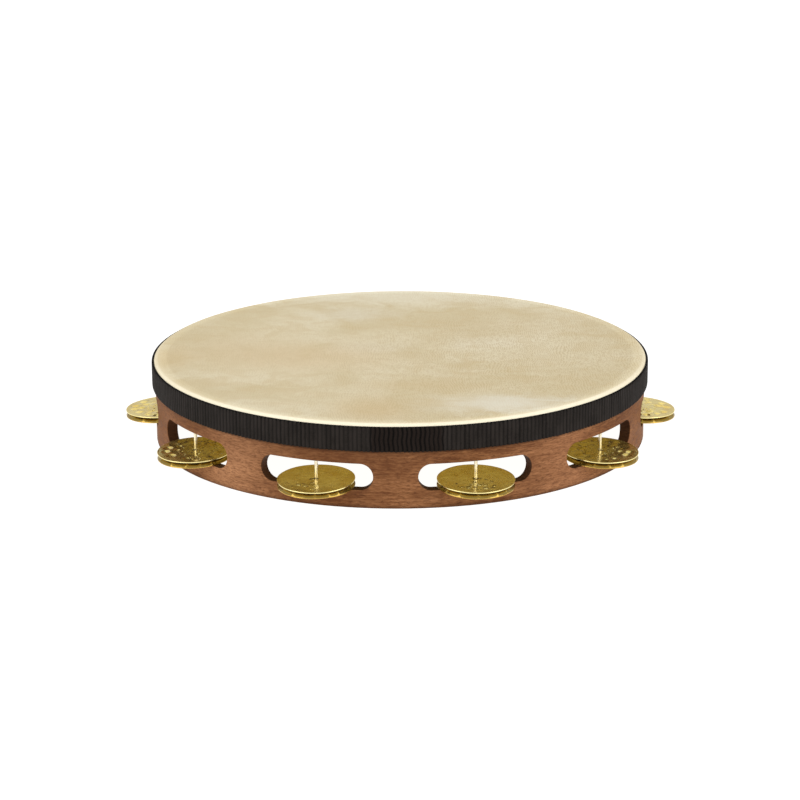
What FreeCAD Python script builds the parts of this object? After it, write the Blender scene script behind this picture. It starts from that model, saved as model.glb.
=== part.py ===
"""A wooden tambourine with a hide head on one side and one row of paired brass jingles.

Millimetres, +Z up. The origin is on the hoop's axis, on the surface that the bottom edge rests on.
Angles are counted from the front (-Y) towards +X. Every repeated piece is made once at the front and
then turned about the axis to its own station.
"""
import FreeCAD, Part
import math
import os

V = FreeCAD.Vector
UP = V(0, 0, 1)
RIGHT = V(1, 0, 0)
OUT = V(0, -1, 0)  # away from the axis, at the front

# The hoop: one wooden ring, standing on its bottom edge.
HOOP_RADIUS = 127.0  # a 10 inch drum
HOOP_WALL = 5.6
HOOP_HEIGHT = 42.1
HOOP_EASE = 0.6  # rounding of the ring's four long edges
HOOP_INNER = HOOP_RADIUS - HOOP_WALL

# Ten long holes through the wall, evenly spaced, each with round ends and one pair of jingles.
STATIONS = 10
STATION_STEP = 360 / STATIONS
SLOT_FLOOR = 9.13
SLOT_CEILING = 22.26
SLOT_END_RADIUS = (SLOT_CEILING - SLOT_FLOOR) / 2
SLOT_HALF_ANGLE = 13.1  # degrees from the middle of a slot to its end
SLOT_EASE = 0.35  # rounding of a slot's edges, inside and outside

# The pins: steel nails driven up through each slot from the hoop's bottom edge.
PIN_CIRCLE = HOOP_RADIUS - HOOP_WALL / 2
PIN_RADIUS = 0.85
PIN_HEAD_RADIUS = 1.8
PIN_HEAD_THICK = 0.6
PIN_HEAD_TAPER = 0.5
PIN_HEAD_SUNK = 0.2  # how far the head lies above the hoop's bottom edge
PIN_TOP = 29.5
PIN_POINT = 2.0  # length of the tapered point

# The jingles: pairs of thin round sheets, free on their pin. They lean outwards as they rest.
JINGLE_RADIUS = 19.05  # 1 1/2 inch across
JINGLE_SHEET = 0.5
JINGLE_HOLE_RADIUS = 1.55
JINGLE_LEAN = 3.0  # degrees
JINGLE_SLIP = 0.35  # a jingle's middle lies this far outside its pin's axis
LOWER_RIM = SLOT_FLOOR + 0.17  # underside of the lower jingle's rim, at the pin
LOWER_CROWN = 2.2  # how far the middle of a lower jingle stands above its rim
UPPER_RIM = 12.1
UPPER_CROWN = 0.12

# The head: a disc of hide, turned down over the hoop's top edge and tacked to its outside.
HEAD_THICK = 0.56
HEAD_SKIRT_END = 30.2  # height of the turned-down edge's lowest point
HEAD_RADIUS = HOOP_RADIUS + HEAD_THICK
HEAD_TOP = HOOP_HEIGHT + HEAD_THICK

# The tacks: a ring of flat-headed tacks through the turned-down hide into the wood.
TACKS = 20
TACK_STEP = 360 / TACKS
TACK_HEIGHT = 35.3
TACK_HEAD_RADIUS = 2.0
TACK_HEAD_THICK = 0.26
TACK_HEAD_FACE = HEAD_RADIUS - 0.03  # distance of the head's outer face from the axis
TACK_SHANK_RADIUS = 0.55
TACK_SHANK = 3.2
TACK_POINT = 1.4
TACK_ROOM = 0.05  # clearance of the hide round a tack

# The ribbon: a woven band round the edge of the head that covers the tacks.
RIBBON_GAP = 0.04
RIBBON_THICK = 1.24
RIBBON_BOTTOM = 28.97
RIBBON_TOP = 41.56
RIBBON_EASE = 0.25


def turned(shape, angle):
    """The shape turned about the hoop's axis, from the front to another angle."""
    return shape.rotated(V(0, 0, 0), UP, angle)


def station_angle(number):
    """Where a slot is, with the first one to the right of the front."""
    return STATION_STEP * (number - 0.5)


def tack_angle(number):
    return TACK_STEP * (number - 0.5)


def rings_only(edges):
    """The edges that are full circles, so not a cylinder's seam."""
    return [e for e in edges if isinstance(e.Curve, Part.Circle)]


def tube(outer, inner, low, high, ease):
    """An upright tube about the axis with its four round edges eased."""
    base = V(0, 0, low)
    solid = Part.makeCylinder(outer, high - low, base)
    solid = solid.cut(Part.makeCylinder(inner, high - low, base))
    return solid.makeFillet(ease, rings_only(solid.Edges))


def slot_outline(distance):
    """A slot's outline in the upright plane that stands this far out from the axis."""
    reach = distance * math.tan(math.radians(SLOT_HALF_ANGLE))
    straight = reach - SLOT_END_RADIUS
    middle = SLOT_FLOOR + SLOT_END_RADIUS

    def at(x, z):
        return V(x, -distance, z)

    curves = [
        Part.LineSegment(at(-straight, SLOT_FLOOR), at(straight, SLOT_FLOOR)),
        Part.Arc(at(straight, SLOT_FLOOR), at(reach, middle), at(straight, SLOT_CEILING)),
        Part.LineSegment(at(straight, SLOT_CEILING), at(-straight, SLOT_CEILING)),
        Part.Arc(at(-straight, SLOT_CEILING), at(-reach, middle), at(-straight, SLOT_FLOOR)),
    ]
    return Part.Wire([c.toShape() for c in curves])


def slot_space():
    """What a slot takes out of the hoop: its ends point at the hoop's axis."""
    past = 4.0
    nearest = HOOP_INNER * math.cos(math.radians(SLOT_HALF_ANGLE)) - past
    ends = [slot_outline(nearest), slot_outline(HOOP_RADIUS + past)]
    return Part.makeLoft(ends, True, True)


def is_slot_edge(edge):
    """True of the edges where a slot meets the hoop's outside or inside face."""
    if isinstance(edge.Curve, Part.Line):
        return False
    middle = edge.valueAt((edge.FirstParameter + edge.LastParameter) / 2)
    across = math.hypot(middle.x, middle.y)
    on_a_face = min(abs(across - HOOP_RADIUS), abs(across - HOOP_INNER)) < 0.01
    return on_a_face and SLOT_FLOOR - 0.01 < middle.z < SLOT_CEILING + 0.01


def pin():
    """One nail at the front: a flat head below, a taper, a round shank and a point."""
    axis = -PIN_CIRCLE
    outline = [
        (0, PIN_HEAD_SUNK),
        (PIN_HEAD_RADIUS, PIN_HEAD_SUNK),
        (PIN_HEAD_RADIUS, PIN_HEAD_SUNK + PIN_HEAD_THICK),
        (PIN_RADIUS, PIN_HEAD_SUNK + PIN_HEAD_THICK + PIN_HEAD_TAPER),
        (PIN_RADIUS, PIN_TOP - PIN_POINT),
        (0, PIN_TOP),
        (0, PIN_HEAD_SUNK),
    ]
    face = Part.Face(Part.makePolygon([V(r, axis, z) for r, z in outline]))
    return face.revolve(V(0, axis, 0), UP, 360)


def tack():
    """One tack at the front, driven towards the axis."""
    under = TACK_HEAD_FACE - TACK_HEAD_THICK
    outline = [
        (0, TACK_HEAD_FACE),
        (TACK_HEAD_RADIUS, TACK_HEAD_FACE),
        (TACK_HEAD_RADIUS, under),
        (TACK_SHANK_RADIUS, under),
        (TACK_SHANK_RADIUS, under - TACK_SHANK),
        (0, under - TACK_SHANK - TACK_POINT),
        (0, TACK_HEAD_FACE),
    ]
    face = Part.Face(Part.makePolygon([V(r, -d, TACK_HEIGHT) for r, d in outline]))
    return face.revolve(V(0, 0, TACK_HEIGHT), OUT, 360)


def tack_room():
    """What one tack takes out of the hide, with a little room all round."""
    under = TACK_HEAD_FACE - TACK_HEAD_THICK - TACK_ROOM / 2
    at_axis = V(0, 0, TACK_HEIGHT)
    recess = Part.makeCylinder(TACK_HEAD_RADIUS + TACK_ROOM, HOOP_WALL, at_axis + OUT * under, OUT)
    hole = Part.makeCylinder(
        TACK_SHANK_RADIUS + TACK_ROOM, HOOP_WALL, at_axis + OUT * (under - HOOP_WALL / 2), OUT
    )
    return recess.fuse(hole)


def hoop():
    """The wooden ring, with its slots, its pin holes and the holes that the tacks make."""
    ring = tube(HOOP_RADIUS, HOOP_INNER, 0, HOOP_HEIGHT, HOOP_EASE)
    slot = slot_space()
    angles = [station_angle(n) for n in range(1, STATIONS + 1)]
    ring = ring.cut([turned(slot, a) for a in angles])
    ring = ring.makeFillet(SLOT_EASE, [e for e in ring.Edges if is_slot_edge(e)])
    recess = Part.makeCylinder(PIN_HEAD_RADIUS, PIN_HEAD_SUNK + 1, OUT * PIN_CIRCLE - UP)
    driven = [turned(s, a) for a in angles for s in (pin(), recess)]
    driven += [turned(tack(), tack_angle(n)) for n in range(1, TACKS + 1)]
    return ring.cut(driven)


def head():
    """The hide: flat over the hoop, round over its edge, and straight down its outside."""
    corner = HOOP_EASE + HEAD_THICK
    low = HEAD_SKIRT_END
    diagonal = math.sqrt(0.5)

    def at(r, z):
        return V(r, 0, z)

    def bend(radius):
        """A quarter turn about the middle of the hoop's rounded edge."""
        r, z = HOOP_RADIUS - HOOP_EASE, HOOP_HEIGHT - HOOP_EASE
        half = radius * diagonal
        return [at(r, z + radius), at(r + half, z + half), at(r + radius, z)]

    over, under = bend(corner), bend(HOOP_EASE)
    curves = [
        Part.LineSegment(at(0, HEAD_TOP), over[0]),
        Part.Arc(*over),
        Part.LineSegment(over[2], at(HEAD_RADIUS, low)),
        Part.LineSegment(at(HEAD_RADIUS, low), at(HOOP_RADIUS, low)),
        Part.LineSegment(at(HOOP_RADIUS, low), under[2]),
        Part.Arc(*under[::-1]),
        Part.LineSegment(under[0], at(0, HOOP_HEIGHT)),
        Part.LineSegment(at(0, HOOP_HEIGHT), at(0, HEAD_TOP)),
    ]
    face = Part.Face(Part.Wire([c.toShape() for c in curves]))
    hide = face.revolve(V(0, 0, 0), UP, 360)
    return hide.cut([turned(tack_room(), tack_angle(n)) for n in range(1, TACKS + 1)])


def tacks():
    """All the tacks, as separate solids."""
    return Part.makeCompound([turned(tack(), tack_angle(n)) for n in range(1, TACKS + 1)])


def ribbon():
    inner = HEAD_RADIUS + RIBBON_GAP
    return tube(inner + RIBBON_THICK, inner, RIBBON_BOTTOM, RIBBON_TOP, RIBBON_EASE)


def jingle(crown, rim):
    """One jingle at the front: a thin sheet that rises from its rim to the hole in its middle."""

    def sheet_face(lift):
        """The hole's edge, a point halfway out and the rim, on one face of the sheet."""
        stops = (JINGLE_HOLE_RADIUS, JINGLE_RADIUS / 2, JINGLE_RADIUS)
        return [V(r, 0, lift + crown * (1 - (r / JINGLE_RADIUS) ** 2)) for r in stops]

    under, over = sheet_face(0), sheet_face(JINGLE_SHEET)
    curves = [
        Part.Arc(*under),
        Part.LineSegment(under[2], over[2]),
        Part.Arc(*over[::-1]),
        Part.LineSegment(over[0], under[0]),
    ]
    face = Part.Face(Part.Wire([c.toShape() for c in curves]))
    disc = face.revolve(V(0, 0, 0), UP, 360)
    disc.rotate(V(0, 0, 0), RIGHT, JINGLE_LEAN)
    disc.translate(OUT * (PIN_CIRCLE + JINGLE_SLIP) + UP * rim)
    return disc


def write(name, shape):
    shape.exportStep(f"parts/{name}.step")


os.makedirs("parts", exist_ok=True)
write("wooden_hoop", hoop())
write("hide_head", head())
write("head_tacks", tacks())
write("edge_ribbon", ribbon())
for n in range(1, STATIONS + 1):
    angle = station_angle(n)
    write(f"jingle_pin_{n:02d}", turned(pin(), angle))
    write(f"jingle_lower_{n:02d}", turned(jingle(LOWER_CROWN, LOWER_RIM), angle))
    write(f"jingle_upper_{n:02d}", turned(jingle(UPPER_CROWN, UPPER_RIM), angle))
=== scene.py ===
import math

import bpy
import numpy as np
from mathutils import Matrix, Vector


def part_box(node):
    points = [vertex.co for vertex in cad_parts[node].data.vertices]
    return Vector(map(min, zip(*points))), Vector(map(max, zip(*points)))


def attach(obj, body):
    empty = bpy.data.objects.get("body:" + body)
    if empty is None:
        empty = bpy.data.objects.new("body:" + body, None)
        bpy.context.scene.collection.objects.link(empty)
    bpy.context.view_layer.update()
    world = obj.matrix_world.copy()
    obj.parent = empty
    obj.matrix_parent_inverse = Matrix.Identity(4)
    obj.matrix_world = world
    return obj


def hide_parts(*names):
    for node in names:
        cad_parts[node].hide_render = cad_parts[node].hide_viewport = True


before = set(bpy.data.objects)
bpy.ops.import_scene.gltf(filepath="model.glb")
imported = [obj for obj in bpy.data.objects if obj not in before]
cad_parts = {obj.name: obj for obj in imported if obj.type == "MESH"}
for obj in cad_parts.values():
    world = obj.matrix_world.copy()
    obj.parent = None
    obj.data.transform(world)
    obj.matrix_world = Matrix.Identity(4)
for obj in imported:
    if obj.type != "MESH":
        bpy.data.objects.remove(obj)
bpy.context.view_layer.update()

MM = 0.001
FRAME_BODY = "frame"
STATIONS = 10

# The camera, from the drum's own front.
CAMERA_AZIMUTH = math.radians(1.02)
CAMERA_ELEVATION = math.radians(16.79)
CAMERA_ROLL = math.radians(-0.27)
CAMERA_DISTANCE = 1.410
CAMERA_AIM_HEIGHT = 0.0163
CAMERA_LENS = 121.35
SENSOR_WIDTH = 36.0

# Light: white surroundings, a lit floor and soft lamps, each (azimuth, elevation, watts).
WORLD_STRENGTH = 0.75
FLOOR_GLOW = 0.95
FLOOR_HALF_WIDTH = 8.0
LAMP_DISTANCE = 2.6
LAMP_SIZE = 2.0
LAMPS = {"lamp_left": (-58, 24, 22.5), "lamp_right": (60, 24, 23.0), "lamp_back": (180, 44, 4.5)}

# The hoop.
HOOP_WALL = 5.6 * MM
SLOT_LOW = 9.13 * MM
SLOT_HIGH = 22.26 * MM

# Stretches of paler and darker wood: angle from the front and half width in degrees, colour as
# seen, and share. The paler ones at -39 and 41 are a painted highlight and the darker ones at -76
# and 76 painted shade; the two at the back are the wood's own tone.
WOOD_TONES_AND_PAINTED_LIGHT = [
    (-39, 17, (180, 129, 91), 0.70),
    (41, 18, (172, 120, 84), 0.60),
    (-128, 20, (172, 120, 84), 0.60),
    (152, 22, (172, 120, 84), 0.60),
    (-76, 16, (112, 66, 26), 0.60),
    (76, 16, (118, 72, 36), 0.40),
]

# The jingles' sheet and section. The share of the radius is raised to the power for the fall of the
# dome: a high one is a flat top with a turned-down edge.
JINGLE_SHEET = 0.5 * MM
JINGLE_LEAN = math.radians(3.0)
JINGLE_HOLE = 1.55 * MM
JINGLE_EDGE = 0.22 * MM
JINGLE_MARGIN = 0.02 * MM
JINGLE_STEPS = 168
LOWER_CROWN = 2.15 * MM
LOWER_POWER = 10.0
UPPER_CROWN = 0.12 * MM
UPPER_POWER = 2.0
CRIMPS = 14
CRIMP_POWER = 16.0
CRIMP_WIDTH = math.radians(1.5)

# Hammer marks: rings of them, each (distance from the middle, count, size, depth) in mm. The two
# stations beside the front are worked flatter, with fine pips in their shading ahead of the pins.
DEEP_MARKS = [
    (4.6, 8, 0.75, 0.28),
    (7.4, 12, 0.85, 0.32),
    (10.4, 9, 2.0, 0.50),
    (14.4, 13, 2.5, 0.62),
]
FLAT_MARKS = [(6.4, 8, 1.6, 0.09), (11.2, 9, 2.4, 0.14), (15.2, 11, 2.0, 0.10)]
FLAT_STATIONS = (1, 10)
DEEPEST_MARK = 0.62 * MM

# The pips: the middle and half size of their patch in mm, which the left side mirrors.
PIPS_MIDDLE = (38.4, -125.5)
PIPS_SIZE = (12.0, 9.0)
PIPS_PER_METRE = 260.0
PIPS_HEIGHT = 0.95 * MM

# A faint ring pressed round the jingles, the share of every mark that shows underneath, and the
# raised lip of the upper jingles.
GROOVE_RADIUS = 9.2 * MM
GROOVE_WIDTH = 0.8 * MM
GROOVE_DEPTH = 0.14 * MM
UNDERSIDE_SHARE = 0.22
LIP_HEIGHT = 0.13 * MM
LIP_WIDTH = 0.40 * MM

BRASS_METALLIC = 0.90

# The ribbon.
RIB_PITCH = 2.165 * MM
RIB_DEPTH = 0.29 * MM
STEPS_PER_RIB = 10
RIBBON_THICKNESS = 1.24 * MM
RIBBON_SCALLOP = 0.45 * MM
RIBBON_TOP_MARGIN = 0.15 * MM
JOIN_START = math.radians(-5.6)
JOIN_END = math.radians(10.8)
JOIN_RAISE = 0.16 * MM

# Levels up the ribbon's face: share of its height, and how far round towards its back.
RIBBON_LEVELS = [
    (0.0, 0.55), (0.0, 0.2), (0.02, 0.04), (0.07, 0), (0.2, 0), (0.35, 0), (0.5, 0),
    (0.65, 0), (0.8, 0), (0.93, 0), (0.98, 0.04), (1.0, 0.2), (1.0, 0.55),
]

# The hide.
HIDE_SIDES = 288
HIDE_SWELL = 0.14 * MM
HIDE_CORNER = 2.2 * MM
HOOP_EASE = 0.6 * MM
RIPPLE_PITCH = 1.2 * MM
SMOOTH_MIDDLE = (52.0, -93.0)
SMOOTH_SIZE = (46.0, 20.0)

# Patches of the hide: middle (x, y) and half size in mm, colour as seen, and share.
HIDE_PATCHES = [
    ((-27, 74), (26, 15), (233, 226, 205), 0.55),
    ((-16, 7), (20, 13), (232, 223, 198), 0.50),
    ((47, 15), (20, 12), (232, 223, 199), 0.45),
    ((52, -93), (42, 16), (236, 231, 214), 0.75),
    ((76, 6), (44, 46), (236, 226, 198), 0.50),
    ((-118, -12), (12, 22), (215, 190, 140), 0.55),
    ((-12, -103), (20, 22), (209, 180, 126), 0.55),
    ((8, -62), (30, 10), (215, 192, 147), 0.35),
    ((62, 52), (50, 26), (217, 200, 165), 0.15),
    ((-50, -10), (50, 26), (220, 194, 150), 0.45),
    ((-86, 4), (34, 34), (217, 194, 152), 0.35),
    ((0, 120), (110, 30), (243, 236, 212), 0.75),
]


def corners(node):
    """The low and high corners of a node's box."""
    low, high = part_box(node)
    return np.array(low), np.array(high)


HOOP_RADIUS = float(corners("wooden_hoop")[1][0])
HOOP_INNER = HOOP_RADIUS - HOOP_WALL


# ---------------------------------------------------------------- materials


def seen(red, green, blue):
    """A colour given as it is seen (0 to 255), as the shader's linear numbers."""
    def linear(level):
        level = level / 255
        return level / 12.92 if level <= 0.04045 else ((level + 0.055) / 1.055) ** 2.4
    return (linear(red), linear(green), linear(blue), 1.0)


class Tree:
    """A material's nodes, made and joined in one call each."""

    def __init__(self, name):
        self.material = bpy.data.materials.new(name)
        self.material.use_nodes = True
        self.nodes = self.material.node_tree.nodes
        self.links = self.material.node_tree.links
        self.nodes.clear()

    def put(self, socket, value):
        if isinstance(value, bpy.types.NodeSocket):
            self.links.new(value, socket)
        else:
            socket.default_value = value

    def add(self, kind, **inputs):
        """A node whose inputs are given by name, with _ for a space."""
        node = self.nodes.new("ShaderNode" + kind)
        for key, value in inputs.items():
            self.put(node.inputs[key.replace("_", " ")], value)
        return node

    def math(self, operation, *values):
        node = self.nodes.new("ShaderNodeMath")
        node.operation = operation
        for socket, value in zip(node.inputs, values):
            self.put(socket, value)
        return node.outputs[0]

    def times(self, first, second):
        return self.math("MULTIPLY", first, second)

    def plus(self, first, second):
        return self.math("ADD", first, second)

    def length(self, first, second):
        return self.math("SQRT", self.plus(self.times(first, first), self.times(second, second)))

    def ramp(self, value, low, high, to_low=0.0, to_high=1.0):
        """The value mapped smoothly from one range to another."""
        node = self.nodes.new("ShaderNodeMapRange")
        node.interpolation_type = "SMOOTHSTEP"
        for key, number in zip(("Value", "From Min", "From Max", "To Min", "To Max"),
                               (value, low, high, to_low, to_high)):
            self.put(node.inputs[key], number)
        return node.outputs["Result"]

    def mix(self, share, first, second):
        """Two colours mixed by a share."""
        node = self.nodes.new("ShaderNodeMix")
        node.data_type = "RGBA"
        factor = node.inputs[0]
        first_colour, second_colour = [s for s in node.inputs if s.type == "RGBA"]
        self.put(factor, share)
        self.put(first_colour, first)
        self.put(second_colour, second)
        return next(s for s in node.outputs if s.type == "RGBA")

    def noise(self, vector, scale, detail=3.0, roughness=0.55, distortion=0.0):
        return self.add("TexNoise", Vector=vector, Scale=scale, Detail=detail,
                        Roughness=roughness, Distortion=distortion).outputs[0]

    def cells(self, vector, scale):
        """Distance to the nearest of scattered points, and a random number for each point."""
        node = self.add("TexVoronoi", Vector=vector, Scale=scale)
        number = self.add("SeparateColor", Color=node.outputs["Color"]).outputs[0]
        return node.outputs["Distance"], number

    def scaled(self, vector, *factors):
        return self.add("Mapping", Vector=vector, Scale=factors).outputs[0]

    def bump(self, height, distance, strength=1.0):
        return self.add("Bump", Height=height, Distance=distance, Strength=strength).outputs[0]

    def done(self, shader):
        self.add("OutputMaterial", Surface=shader)
        return self.material


def place(tree):
    """The point being shaded, in the drum's own frame: the whole vector, and x, y and z."""
    vector = tree.add("TexCoord").outputs["Object"]
    parts = tree.add("SeparateXYZ", Vector=vector).outputs
    return vector, parts[0], parts[1], parts[2]


def round_the_hoop(tree, x, y):
    """Distance along the circumference from the front, and from the axis."""
    along = tree.times(tree.math("ARCTAN2", x, tree.times(y, -1.0)), HOOP_RADIUS)
    return along, tree.length(x, y)


def grain(tree, vector, long, high):
    """A texture vector whose pattern is this long level and this high, in mm."""
    return tree.scaled(vector, 1 / (long * MM), 1 / (long * MM), 1 / (high * MM))


def stained_grain_and_painted_light(t, vector, along, streaks):
    """The wood's colour along its grain, with paler and darker stretches, some of them a painted
    highlight and painted shade.
    """
    bands = t.noise(grain(t, vector, 60, 9), 1.0, 3.0, 0.5, 0.5)
    tone = t.plus(t.times(bands, 0.45), t.times(streaks, 0.55))
    colour = t.mix(t.ramp(tone, 0.38, 0.52), seen(104, 64, 38), seen(133, 89, 56))
    colour = t.mix(t.ramp(tone, 0.50, 0.64), colour, seen(156, 108, 72))
    # Stretches along the hoop: a painted highlight at -39 and 41 degrees, painted shade at -76 and 76,
    # wood tone at the back.
    for centre, half_width, shade, share in WOOD_TONES_AND_PAINTED_LIGHT:
        off = t.math("ABSOLUTE", t.math("SUBTRACT", along, math.radians(centre) * HOOP_RADIUS))
        near = t.ramp(off, 0.0, math.radians(half_width) * HOOP_RADIUS, share, 0.0)
        colour = t.mix(t.times(near, t.ramp(tone, 0.40, 0.60, 0.6, 1.0)), colour, seen(*shade))
    return colour


def sawn_and_shaded(t, colour, x, y, z, across):
    """The wood's colour with painted shade in the slots, where the end grain is also darker, inside the
    hoop, towards the top on the left, under the ribbon and at the foot.
    """
    normal = t.add("SeparateXYZ", Vector=t.add("NewGeometry").outputs["True Normal"]).outputs
    outward = t.plus(t.times(normal[0], t.math("DIVIDE", x, across)),
                     t.times(normal[1], t.math("DIVIDE", y, across)))
    sawn = t.ramp(t.math("ABSOLUTE", outward), 0.2, 0.8, 1.0, 0.0)
    beside_slot = t.times(t.ramp(z, SLOT_LOW - 0.9 * MM, SLOT_LOW - 0.1 * MM),
                          t.ramp(z, SLOT_HIGH + 0.1 * MM, SLOT_HIGH + 0.9 * MM, 1.0, 0.0))
    # Painted shade on the sawn faces of the slots, over their darker end grain.
    colour = t.mix(t.times(t.times(sawn, beside_slot), 0.80), colour, seen(40, 23, 15))
    # Painted shade on the faces inside the hoop.
    inside = t.ramp(outward, -0.8, -0.2, 0.55, 0.0)
    colour = t.mix(inside, colour, seen(74, 46, 30))
    # Painted shade: the left and middle of the hoop darker towards the top.
    shade_upper_left = t.times(t.ramp(z, 7 * MM, 27 * MM, 0.0, 0.34), t.ramp(x, -0.030, 0.050, 1.0, 0.0))
    colour = t.mix(shade_upper_left, colour, seen(96, 60, 38))
    # Painted shadow on the wood just under the ribbon's edge.
    shadow_under_ribbon = t.ramp(z, 27.4 * MM, 29.0 * MM, 0.0, 0.6)
    colour = t.mix(shadow_under_ribbon, colour, seen(48, 30, 22))
    # Painted shade along the foot of the hoop, as a contact shadow.
    foot = t.ramp(z, 0.2 * MM, 2.2 * MM, 0.60, 0.0)
    return t.mix(foot, colour, seen(58, 36, 24))


def walnut():
    """Stained walnut, its grain running round the hoop, with a painted highlight and painted shade in
    its colour, darker on the sawn faces of the slots.
    """
    t = Tree("walnut")
    vector, x, y, z = place(t)
    along, across = round_the_hoop(t, x, y)
    streaks = t.noise(grain(t, vector, 7.0, 0.95), 1.0, 4.0, 0.62, 0.2)
    fibres = t.noise(grain(t, vector, 2.6, 0.50), 1.0, 3.0, 0.65)
    pores = t.noise(grain(t, vector, 2.4, 0.60), 1.0, 2.0, 0.5)
    colour = stained_grain_and_painted_light(t, vector, along, streaks)
    colour = t.mix(t.ramp(fibres, 0.42, 0.66, 0.0, 0.55), colour, seen(92, 54, 33))
    pore = t.ramp(pores, 0.58, 0.66)
    colour = t.mix(t.times(pore, 0.38), colour, seen(62, 35, 22))
    colour = sawn_and_shaded(t, colour, x, y, z, across)
    height = t.math("SUBTRACT", t.times(fibres, 0.5), pore)
    shader = t.add(
        "BsdfPrincipled",
        Base_Color=colour,
        Roughness=t.ramp(streaks, 0.35, 0.65, 0.50, 0.62),
        Normal=t.bump(height, 0.00006, 0.8),
        Specular_IOR_Level=0.04,
    )
    return t.done(shader.outputs[0])


def patch(tree, x, y, centre, size, wobble):
    """A soft round patch seen from above, from 1 in its middle to 0 past its edge."""
    dx = tree.math("DIVIDE", tree.math("SUBTRACT", x, centre[0] * MM), size[0] * MM)
    dy = tree.math("DIVIDE", tree.math("SUBTRACT", y, centre[1] * MM), size[1] * MM)
    return tree.ramp(tree.plus(tree.length(dx, dy), wobble), 0.1, 1.4, 1.0, 0.0)


def clouded_cream(t, vector, x, y, blots):
    """The hide's colour: cream, with soft tan clouds and patches."""
    clouds = t.noise(vector, 16.0, 4.0, 0.55, 0.8)
    colour = t.mix(t.ramp(clouds, 0.38, 0.62), seen(230, 218, 186), seen(219, 204, 166))
    colour = t.mix(t.ramp(blots, 0.44, 0.64, 0.0, 0.42), colour, seen(214, 193, 149))
    wobble = t.times(t.math("SUBTRACT", blots, 0.5), 1.6)
    for centre, size, shade, share in HIDE_PATCHES:
        colour = t.mix(t.times(patch(t, x, y, centre, size, wobble), share), colour, seen(*shade))
    return colour


def paler_turn_and_painted_highlight(t, colour, y, across):
    """The hide's colour made paler over the wood and round its turned edge, most at the front: partly
    the hide's paler colour over the wood, and a painted highlight where the front light falls on the
    turn.
    """
    forward = t.ramp(y, -0.110, 0.040, 1.0, 0.15)
    over_wood = t.ramp(across, HOOP_RADIUS - 4.5 * MM, HOOP_RADIUS - 1.0 * MM)
    colour = t.mix(t.times(t.times(over_wood, forward), 0.50), colour, seen(246, 232, 198))
    # The turned edge brightest at the front: a painted highlight.
    turned = t.ramp(across, HOOP_RADIUS - 1.9 * MM, HOOP_RADIUS - 0.7 * MM)
    return t.mix(t.times(t.times(turned, forward), 0.80), colour, seen(255, 246, 220))


def goat_hide():
    """Undyed hide: cream, with fine creases darkened by painted shade, a paler turn over the wood with a
    painted highlight at the front, and a darker flesh side.
    """
    t = Tree("goat_hide")
    vector, x, y, _ = place(t)
    across = t.length(x, y)
    blots = t.noise(t.scaled(vector, 1.0, 1.5, 1.0), 52.0, 4.0, 0.62, 1.0)
    creases = t.noise(t.scaled(vector, 1.0, 0.36, 1.0), 900.0, 2.0, 0.6, 1.6)
    drift = t.times(t.noise(vector, 42.0, 2.0, 0.5), 70.0)
    ripples = t.math("SINE", t.plus(t.times(x, 2 * math.pi / RIPPLE_PITCH), drift))
    relief = t.plus(creases, t.times(ripples, t.ramp(blots, 0.38, 0.58, 0.02, 0.16)))
    pores, _ = t.cells(vector, 1150.0)
    colour = clouded_cream(t, vector, x, y, blots)
    smoother = patch(t, x, y, SMOOTH_MIDDLE, SMOOTH_SIZE, 0.0)
    # Painted shade in the creases and ripples, more to the right, less towards the back and on the
    # smoother patch.
    crease_shade = t.times(t.ramp(x, -0.080, 0.060, 0.24, 0.62), t.ramp(y, 0.020, 0.100, 1.0, 0.5))
    crease_shade = t.times(crease_shade, t.math("SUBTRACT", 1.0, t.times(smoother, 0.85)))
    colour = t.mix(t.times(crease_shade, t.ramp(relief, 0.43, 0.62)), colour, seen(200, 179, 137))
    colour = paler_turn_and_painted_highlight(t, colour, y, across)
    facing = t.add("SeparateXYZ", Vector=t.add("NewGeometry").outputs["True Normal"]).outputs[2]
    flesh_side = t.mix(t.ramp(blots, 0.36, 0.66), seen(190, 171, 97), seen(174, 151, 74))
    colour = t.mix(t.ramp(facing, -0.8, -0.3, 1.0, 0.0), colour, flesh_side)
    height = t.plus(t.times(relief, 0.7), t.times(pores, 0.3))
    normal = t.bump(height, 0.00006, 0.7)
    surface = t.add(
        "BsdfPrincipled",
        Base_Color=colour,
        Roughness=t.ramp(creases, 0.3, 0.7, 0.56, 0.70),
        Normal=normal,
        Specular_IOR_Level=0.22,
    )
    through = t.add("BsdfTranslucent", Color=seen(214, 184, 120), Normal=normal)
    both = t.add("MixShader", Fac=t.ramp(across, HOOP_INNER - 1.0 * MM, HOOP_INNER, 0.12, 0.02))
    t.put(both.inputs[1], surface.outputs[0])
    t.put(both.inputs[2], through.outputs[0])
    return t.done(both.outputs[0])


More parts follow.
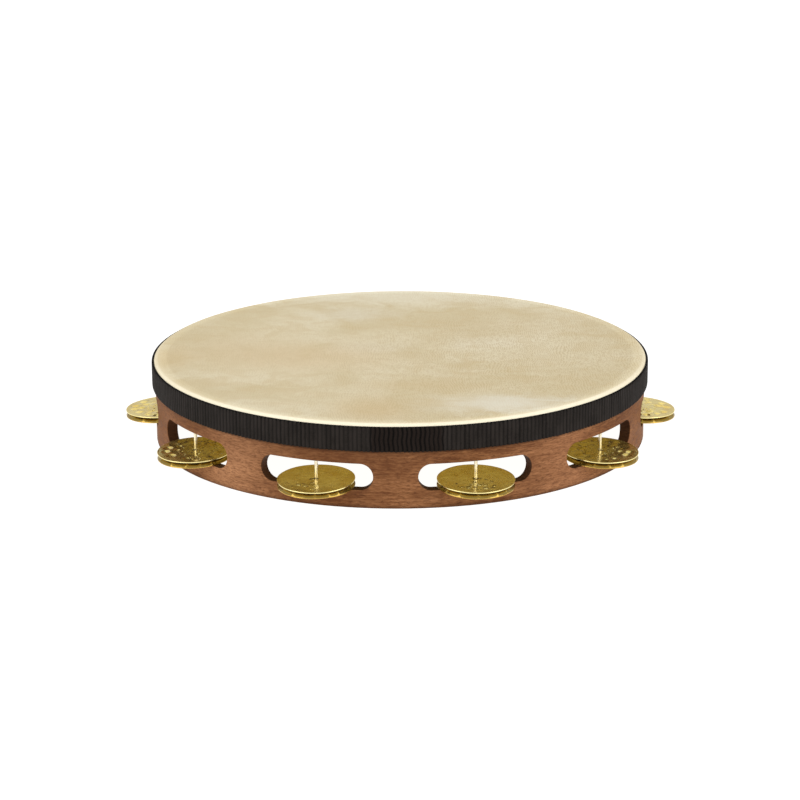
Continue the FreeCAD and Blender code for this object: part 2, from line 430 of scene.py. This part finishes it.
def grosgrain():
    """Black ribbed ribbon: fine cross threads, a little fuzz, a browner overlap and painted shade
    between the ribs.
    """
    t = Tree("grosgrain")
    vector, x, y, _ = place(t)
    along, across = round_the_hoop(t, x, y)
    cloth = t.noise(grain(t, vector, 5, 12), 1.0, 3.0, 0.6)
    threads = t.noise(grain(t, vector, 0.9, 0.36), 1.0, 2.0, 0.5)
    fuzz = t.noise(vector, 2600.0, 2.0, 0.6)
    colour = t.mix(t.ramp(cloth, 0.35, 0.65), seen(31, 27, 24), seen(42, 37, 34))
    colour = t.mix(t.ramp(threads, 0.40, 0.65, 0.0, 0.5), colour, seen(45, 40, 37))
    join = t.times(t.ramp(along, JOIN_START * HOOP_RADIUS, JOIN_START * HOOP_RADIUS + 2 * MM),
                   t.ramp(along, JOIN_END * HOOP_RADIUS - 3 * MM, JOIN_END * HOOP_RADIUS, 1.0, 0.0))
    colour = t.mix(t.times(join, 0.7), colour, seen(26, 17, 12))
    # Painted shade where the cloth lies deeper towards the hoop: in the valleys between the ribs and on
    # the edges turned back.
    valley_shade = t.ramp(across, HOOP_RADIUS + 1.38 * MM, HOOP_RADIUS + 1.68 * MM, 0.75, 0.0)
    colour = t.mix(valley_shade, colour, seen(8, 7, 6))
    height = t.plus(t.times(threads, 0.6), t.times(fuzz, 0.5))
    shader = t.add(
        "BsdfPrincipled",
        Base_Color=colour,
        Roughness=t.ramp(fuzz, 0.3, 0.7, 0.66, 0.84),
        Normal=t.bump(height, 0.00006, 0.7),
        Specular_IOR_Level=0.06,
        Sheen_Weight=0.02,
        Sheen_Roughness=0.5,
    )
    return t.done(shader.outputs[0])


def brass(name, top_shade, rim):
    """Sheet brass with fine marks, dark specks, its rim's colour, painted shade on upward faces, and the
    pips.
    """
    t = Tree(name)
    vector, x, y, _ = place(t)
    cloud = t.noise(vector, 130.0, 3.0, 0.6)
    marks = t.noise(vector, 270.0, 2.0, 0.5, 0.6)
    spot, number = t.cells(vector, 300.0)
    speck = t.times(t.ramp(spot, 0.14, 0.24, 1.0, 0.0), t.ramp(number, 0.94, 0.95))
    colour = t.mix(t.ramp(cloud, 0.36, 0.66), seen(231, 211, 130), seen(217, 189, 99))
    colour = t.mix(t.ramp(marks, 0.50, 0.72, 0.0, 0.35), colour, seen(202, 173, 92))
    colour = t.mix(t.times(speck, 0.75), colour, seen(110, 84, 36))
    upward = t.add("SeparateXYZ", Vector=t.add("NewGeometry").outputs["True Normal"]).outputs[2]
    flatness = t.ramp(t.math("ABSOLUTE", upward), 0.3, 0.8)
    # Steep faces take the rim's colour: a pale polished edge with a painted highlight on the upper
    # jingles, darker with painted shade on the lower ones.
    colour = t.mix(flatness, rim, colour)
    # Painted shade on the upward faces, used on the lower jingles where the upper jingle covers them.
    colour = t.mix(t.ramp(upward, 0.15, 0.45, 0.0, top_shade), colour, seen(124, 100, 38))
    tip, _ = t.cells(t.scaled(vector, 1.0, 1.0, 0.0), PIPS_PER_METRE)
    ahead = t.ramp(patch(t, t.math("ABSOLUTE", x), y, PIPS_MIDDLE, PIPS_SIZE, 0.0), 0.40, 0.45)
    pips = t.times(t.times(t.ramp(tip, 0.05, 0.40, 1.0, 0.0), ahead), PIPS_HEIGHT)
    relief = t.times(t.plus(t.times(marks, 0.05 * MM), pips), flatness)
    shader = t.add(
        "BsdfPrincipled",
        Base_Color=colour,
        Roughness=t.ramp(marks, 0.3, 0.7, 0.17, 0.28),
        Normal=t.bump(relief, 1.0),
        Metallic=BRASS_METALLIC,
    )
    return t.done(shader.outputs[0])


def steel(name, pale, dark, roughness):
    """Plated steel: fine drawn lines and slight dulling."""
    t = Tree(name)
    vector = place(t)[0]
    lines = t.noise(t.scaled(vector, 1500.0, 1500.0, 190.0), 1.0, 2.0, 0.5)
    dull = t.noise(vector, 420.0, 2.0, 0.5)
    shader = t.add(
        "BsdfPrincipled",
        Base_Color=t.mix(t.ramp(dull, 0.38, 0.66), pale, dark),
        Roughness=t.ramp(lines, 0.3, 0.7, roughness, roughness + 0.10),
        Metallic=1.0,
    )
    return t.done(shader.outputs[0])


def lit_floor():
    """A pale floor lit from below, with the faintest unevenness of tone."""
    t = Tree("lit_floor")
    tone = t.noise(place(t)[0], 3.0, 2.0, 0.5)
    shader = t.add(
        "BsdfPrincipled",
        Base_Color=t.mix(tone, (0.24, 0.24, 0.24, 1.0), (0.27, 0.27, 0.27, 1.0)),
        Roughness=0.9,
        Specular_IOR_Level=0.0,
        Emission_Color=(1.0, 1.0, 1.0, 1.0),
        Emission_Strength=FLOOR_GLOW,
    )
    return t.done(shader.outputs[0])


def dress(node, material):
    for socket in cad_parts[node].material_slots:
        socket.material = material


# ---------------------------------------------------------------- meshes


def make_piece(name, points, faces, material, body):
    """A smooth-shaded mesh piece that rides on a body."""
    mesh = bpy.data.meshes.new(name)
    mesh.from_pydata(points.tolist(), [], faces)
    mesh.update()
    mesh.materials.append(material)
    mesh.polygons.foreach_set("use_smooth", [True] * len(mesh.polygons))
    piece = bpy.data.objects.new(name, mesh)
    bpy.context.scene.collection.objects.link(piece)
    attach(piece, body)
    return piece


def ring_faces(loops, steps, closed=True):
    """Quads between rings of points, and from the last ring back to the first if it is closed."""
    faces = []
    for i in range(loops if closed else loops - 1):
        here, there = i * steps, (i + 1) % loops * steps
        for k in range(steps):
            after = (k + 1) % steps
            faces.append((here + k, here + after, there + after, there + k))
    return faces


def smooth_steps(rng, count, size, width):
    """Slow random numbers round a closed ring."""
    raw = rng.normal(0, 1, count)
    kernel = np.exp(-0.5 * (np.arange(-3 * width, 3 * width + 1) / width) ** 2)
    wrapped = np.concatenate([raw[-3 * width:], raw, raw[:3 * width]])
    smooth = np.convolve(wrapped, kernel / kernel.sum(), "valid")
    return size * smooth / smooth.std()


# ---------------------------------------------------------------- jingles


def jingle_rings(radius):
    """The section's rings in a cycle: distance from the middle, and share of the sheet's thickness."""
    top = [(r, 1.0) for r in np.linspace(JINGLE_HOLE, radius - JINGLE_EDGE, 56)]
    shoulder = radius - 0.3 * JINGLE_EDGE
    edge = [(shoulder, 0.9), (radius, 0.68), (radius, 0.32), (shoulder, 0.1)]
    bottom = [(r, 0.0) for r in np.linspace(radius - JINGLE_EDGE, JINGLE_HOLE, 14)]
    return np.array(top + edge + bottom)


def hammering(rng, rings, x, y):
    """Depth of the hammer marks, and of a faint pressed ring, at points of a disc: zero or less."""
    height = np.zeros_like(x)
    for ring, count, size, depth in rings:
        for k in range(count):
            turn = 2 * math.pi * (k + 0.22 * rng.normal()) / count
            far = (ring + 0.45 * rng.normal()) * MM
            spread = size * (1 + 0.15 * rng.normal()) * MM
            sunk = min(depth * math.exp(0.30 * rng.normal()) * MM, DEEPEST_MARK)
            near = (x - far * math.cos(turn)) ** 2 + (y - far * math.sin(turn)) ** 2
            height = np.minimum(height, -sunk * np.clip(1 - near / spread**2, 0, 1))
    ring_line = (np.hypot(x, y) - GROOVE_RADIUS) / GROOVE_WIDTH
    return np.maximum(height - GROOVE_DEPTH * np.exp(-(ring_line**2)), -DEEPEST_MARK)


def rim_power(rng, kind, turns):
    """How sharply the dome falls at each turn: the lower jingle's edge is crimped here and there."""
    if kind == "upper":
        return np.full(len(turns), UPPER_POWER)
    power = np.full(len(turns), LOWER_POWER)
    for k in range(CRIMPS):
        turn = 2 * math.pi * (k + 0.14 * rng.normal()) / CRIMPS
        off = (turns - turn + math.pi) % (2 * math.pi) - math.pi
        power += CRIMP_POWER * np.exp(-((off / CRIMP_WIDTH) ** 2))
    return power


def disc_place(node, number):
    """Where a CAD disc is: its middle seen from above, rim height and radius, and its level axes."""
    angle = 2 * math.pi * (number - 0.5) / STATIONS
    tangent = np.array([math.cos(angle), math.sin(angle), 0.0])
    outward = np.array([math.sin(angle), -math.cos(angle), 0.0])
    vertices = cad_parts[node].data.vertices
    flat = np.empty(len(vertices) * 3)
    vertices.foreach_get("co", flat)
    reach = flat.reshape(-1, 3) @ outward
    radius = float((flat.reshape(-1, 3) @ tangent).max())
    middle = outward * (reach.max() + reach.min()) / 2
    rim = corners(node)[0][2] + radius * math.sin(JINGLE_LEAN)
    return middle, rim, radius, tangent, outward


def disc_points(kind, number, radius, crown):
    """A hammered disc lying level, ring by ring round its section: x, y and z."""
    rng = np.random.default_rng(100 * number + (7 if kind == "upper" else 3))
    rings = jingle_rings(radius)
    turns = np.arange(JINGLE_STEPS) * 2 * math.pi / JINGLE_STEPS
    out_of_round = 0.0030 * (1 + np.cos(3 * turns + 6 * rng.random())) \
        + 0.0018 * (1 + np.cos(7 * turns + 6 * rng.random()))
    share = (rings[:, 0] / radius)[:, None]
    r = rings[:, 0][:, None] * (1 - share**6 * out_of_round[None, :])
    x = r * np.cos(turns)
    y = r * np.sin(turns)
    dome = crown * (1 - share ** rim_power(rng, kind, turns)[None, :])
    through = UNDERSIDE_SHARE + (1 - UNDERSIDE_SHARE) * rings[:, 1][:, None]
    hammer_rings = FLAT_MARKS if number in FLAT_STATIONS else DEEP_MARKS
    marks = through * hammering(rng, hammer_rings, x, y)
    wave = 0.05 * MM * share**2 * np.cos(2 * turns + 6 * rng.random()) \
        + 0.03 * MM * share**2 * np.cos(5 * turns + 6 * rng.random())
    z = rings[:, 1][:, None] * JINGLE_SHEET + dome + marks + wave
    if kind == "upper":
        lip = LIP_HEIGHT * np.exp(-(((radius - rings[:, 0]) / LIP_WIDTH) ** 2))
        z = z + (lip * rings[:, 1])[:, None]
    return x, y, z


def jingle(kind, number, crown, material):
    """One hammered jingle in place of its plain CAD disc."""
    node = f"jingle_{kind}_{number:02d}"
    middle, rim, cad_radius, tangent, outward = disc_place(node, number)
    x, y, z = disc_points(kind, number, cad_radius - JINGLE_MARGIN, crown)
    out = z * math.sin(JINGLE_LEAN) - y * math.cos(JINGLE_LEAN)
    up = z * math.cos(JINGLE_LEAN) + y * math.sin(JINGLE_LEAN)
    points = middle + x[..., None] * tangent + out[..., None] * outward
    points[..., 2] += rim + up
    piece = make_piece(f"hammered_{kind}_{number:02d}", points.reshape(-1, 3),
                       ring_faces(len(x), JINGLE_STEPS), material,
                       f"{kind}_jingle_{number:02d}")
    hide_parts(node)


# ---------------------------------------------------------------- ribbon


def ribs_round(outer):
    """The ribbon step by step round the hoop: its angle, slow drift, share of the overlap, depth
    between the ribs, scallop of the edges and wave of the height."""
    ribs = int(round(2 * math.pi * outer / RIB_PITCH))
    steps = ribs * STEPS_PER_RIB
    rng = np.random.default_rng(41)
    rib = np.arange(steps) / STEPS_PER_RIB
    each = rng.normal(0, 1, ribs)[np.floor(rib).astype(int)]
    slow = smooth_steps(rng, steps, 1.0, 40)
    angle = 2 * math.pi * rib / ribs + slow * 0.10 * MM / outer
    signed = (angle + math.pi) % (2 * math.pi) - math.pi
    soft_end = math.radians(0.5)
    in_join = (np.clip((signed - JOIN_START) / soft_end, 0, 1)
               * np.clip((JOIN_END - signed) / soft_end, 0, 1))
    crest = 0.5 + 0.5 * np.cos(2 * math.pi * rib)
    depth = RIB_DEPTH * (1 - crest ** 0.6) * (1 + 0.15 * each) * (0.75 + 1.5 * in_join)
    scallop = RIBBON_SCALLOP * (1 - crest) * (1 + 0.4 * each)
    wave = smooth_steps(rng, steps, 0.06 * MM, 90)
    return angle, slow, in_join, depth, scallop, wave


def ribbon(material):
    """The woven ribbon: upright ribs all round, scalloped edges, and its raised overlap at the front."""
    low, high = corners("edge_ribbon")
    outer = high[0]
    inner = outer - RIBBON_THICKNESS
    bottom, top = low[2], high[2] - RIBBON_TOP_MARGIN
    angle, slow, in_join, depth, scallop, wave = ribs_round(outer)
    points = []
    for share, turned in RIBBON_LEVELS:
        across = outer - JOIN_RAISE * (1 - in_join) - depth * (1 - turned) - turned * RIBBON_THICKNESS
        height = bottom + share * (top - bottom) + wave * (0.4 + 0.6 * share)
        if share > 0.9:
            height = height - scallop
        elif share < 0.1:
            height = height + 0.6 * scallop
        sway = 0.12 * MM / outer * np.sin(3 * math.pi * share + slow) * (0.4 + 1.8 * in_join)
        turn = angle + sway
        points.append(np.stack([across * np.sin(turn), -across * np.cos(turn), height], axis=1))
    for share in (1.0, 0.0):
        height = bottom + share * (top - bottom) + wave * (0.4 + 0.6 * share)
        points.append(np.stack([inner * np.sin(angle), -inner * np.cos(angle), height], axis=1))
    piece = make_piece("woven_ribbon", np.concatenate(points), ring_faces(len(points), len(angle)),
                       material, FRAME_BODY)
    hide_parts("edge_ribbon")


# ---------------------------------------------------------------- hide head


def hide_swell(x, y):
    """How far the tight hide stands off a flat plane: slow, and nothing over the wood."""
    waves = (
        np.sin(x / 0.031 + 0.6) * np.cos(y / 0.037 + 1.1)
        + 0.6 * np.sin(x / 0.017 - y / 0.023)
        + 0.35 * np.cos(x / 0.011 + y / 0.013 + 2.0)
    )
    free = np.clip((HOOP_INNER - np.hypot(x, y)) / 0.012, 0, 1)
    return HIDE_SWELL * waves * free * free * (3 - 2 * free)


def hide_section(outer, top, skirt_end):
    """The head's section from the middle of its top, over the hoop's edge and back underneath:
    distance from the axis, and height."""
    thick = outer - HOOP_RADIUS
    flat = np.concatenate([np.linspace(0.0006, 0.110, 44), np.linspace(0.1125, outer - HIDE_CORNER, 8)])
    section = [(r, top) for r in flat]
    for step in range(1, 8):
        bend = step * math.pi / 2 / 7
        section.append((outer - HIDE_CORNER * (1 - math.sin(bend)),
                        top - HIDE_CORNER * (1 - math.cos(bend))))
    section += [(outer, top - d * MM) for d in (3.5, 6.0, 9.0)]
    section += [(outer, skirt_end), (HOOP_RADIUS, skirt_end), (HOOP_RADIUS, top - thick - HOOP_EASE)]
    section += [(HOOP_RADIUS - 0.3 * HOOP_EASE, top - thick - 0.3 * HOOP_EASE)]
    section += [(r, top - thick) for r in (HOOP_RADIUS - HOOP_EASE, *flat[:-1][::-1])]
    return np.array(section)


def hide(material):
    """The head: its tight top, the turn over the hoop's edge and the skirt under the ribbon."""
    low, high = corners("hide_head")
    outer, top, skirt_end = high[0], high[2], low[2]
    section = hide_section(outer, top, skirt_end)
    rng = np.random.default_rng(12)
    turns = np.arange(HIDE_SIDES) * 2 * math.pi / HIDE_SIDES
    r, z = section[:, 0][:, None], section[:, 1][:, None]
    x, y = r * np.sin(turns), -r * np.cos(turns)
    pucker = smooth_steps(rng, HIDE_SIDES, 0.035 * MM, 2)
    at_turn = np.exp(-(((r - HOOP_RADIUS) / (1.2 * MM)) ** 2)) * (z > top - 2.0 * MM)
    points = np.stack([x, y, z + hide_swell(x, y) + pucker * at_turn], axis=2).reshape(-1, 3)
    faces = ring_faces(len(section), HIDE_SIDES, closed=False)
    last = (len(section) - 1) * HIDE_SIDES
    faces.append(tuple(range(HIDE_SIDES - 1, -1, -1)))
    faces.append(tuple(range(last, last + HIDE_SIDES)))
    piece = make_piece("tight_hide", points, faces, material, FRAME_BODY)
    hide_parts("hide_head")


# ---------------------------------------------------------------- stage


def make_camera():
    """A long lens that looks down at the drum from just right of its front."""
    away = math.cos(CAMERA_ELEVATION) * CAMERA_DISTANCE
    eye = Vector((
        away * math.sin(CAMERA_AZIMUTH),
        -away * math.cos(CAMERA_AZIMUTH),
        CAMERA_AIM_HEIGHT + math.sin(CAMERA_ELEVATION) * CAMERA_DISTANCE,
    ))
    forward = (Vector((0, 0, CAMERA_AIM_HEIGHT)) - eye).normalized()
    right = forward.cross(Vector((0, 0, 1))).normalized()
    up = right.cross(forward)
    rolled_right = right * math.cos(CAMERA_ROLL) + up * math.sin(CAMERA_ROLL)
    rolled_up = rolled_right.cross(forward)
    turn = Matrix((rolled_right, rolled_up, -forward)).transposed().to_4x4()
    data = bpy.data.cameras.new("camera")
    data.lens = CAMERA_LENS
    data.sensor_width = SENSOR_WIDTH
    data.clip_end = 20.0
    camera = bpy.data.objects.new("camera", data)
    camera.matrix_world = Matrix.Translation(eye) @ turn
    bpy.context.scene.collection.objects.link(camera)
    bpy.context.scene.camera = camera


def soft_lamp(name, azimuth, elevation, watts):
    """A round lamp aimed at the drum."""
    azimuth, elevation = math.radians(azimuth), math.radians(elevation)
    data = bpy.data.lights.new(name, "AREA")
    data.shape = "DISK"
    data.size = LAMP_SIZE
    data.energy = watts
    lamp = bpy.data.objects.new(name, data)
    lamp.location = LAMP_DISTANCE * Vector((
        math.cos(elevation) * math.sin(azimuth),
        -math.cos(elevation) * math.cos(azimuth),
        math.sin(elevation),
    ))
    lamp.rotation_euler = (-lamp.location).to_track_quat("-Z", "Y").to_euler()
    bpy.context.scene.collection.objects.link(lamp)


def make_stage():
    """Pale lit floor, even white surroundings and large soft lamps."""
    side = FLOOR_HALF_WIDTH
    mesh = bpy.data.meshes.new("floor")
    square = [(-side, -side, 0), (side, -side, 0), (side, side, 0), (-side, side, 0)]
    mesh.from_pydata(square, [], [(0, 1, 2, 3)])
    mesh.materials.append(lit_floor())
    floor = bpy.data.objects.new("floor", mesh)
    bpy.context.scene.collection.objects.link(floor)
    world = bpy.data.worlds.new("studio")
    world.use_nodes = True
    background = world.node_tree.nodes["Background"]
    background.inputs["Color"].default_value = (1.0, 0.995, 0.985, 1.0)
    background.inputs["Strength"].default_value = WORLD_STRENGTH
    bpy.context.scene.world = world
    for name, (azimuth, elevation, watts) in LAMPS.items():
        soft_lamp(name, azimuth, elevation, watts)


bpy.context.scene.view_settings.view_transform = "Standard"
make_camera()
make_stage()
dress("wooden_hoop", walnut())
dress("head_tacks", steel("tack_steel", seen(205, 202, 196), seen(176, 172, 165), 0.34))
pin_steel = steel("pin_steel", seen(245, 237, 215), seen(226, 214, 184), 0.20)
# The lower jingles' brass: painted shade on its upward faces and a darker rim colour, also painted
# shade.
lower_brass = brass("shaded_brass", 0.75, seen(206, 168, 84))
# The upper jingles' brass: its pale rim colour is a polished edge and a painted highlight.
upper_brass = brass("hammered_brass", 0.0, seen(255, 238, 168))
for number in range(1, STATIONS + 1):
    dress(f"jingle_pin_{number:02d}", pin_steel)
    jingle("lower", number, LOWER_CROWN, lower_brass)
    jingle("upper", number, UPPER_CROWN, upper_brass)
hide(goat_hide())
ribbon(grosgrain())
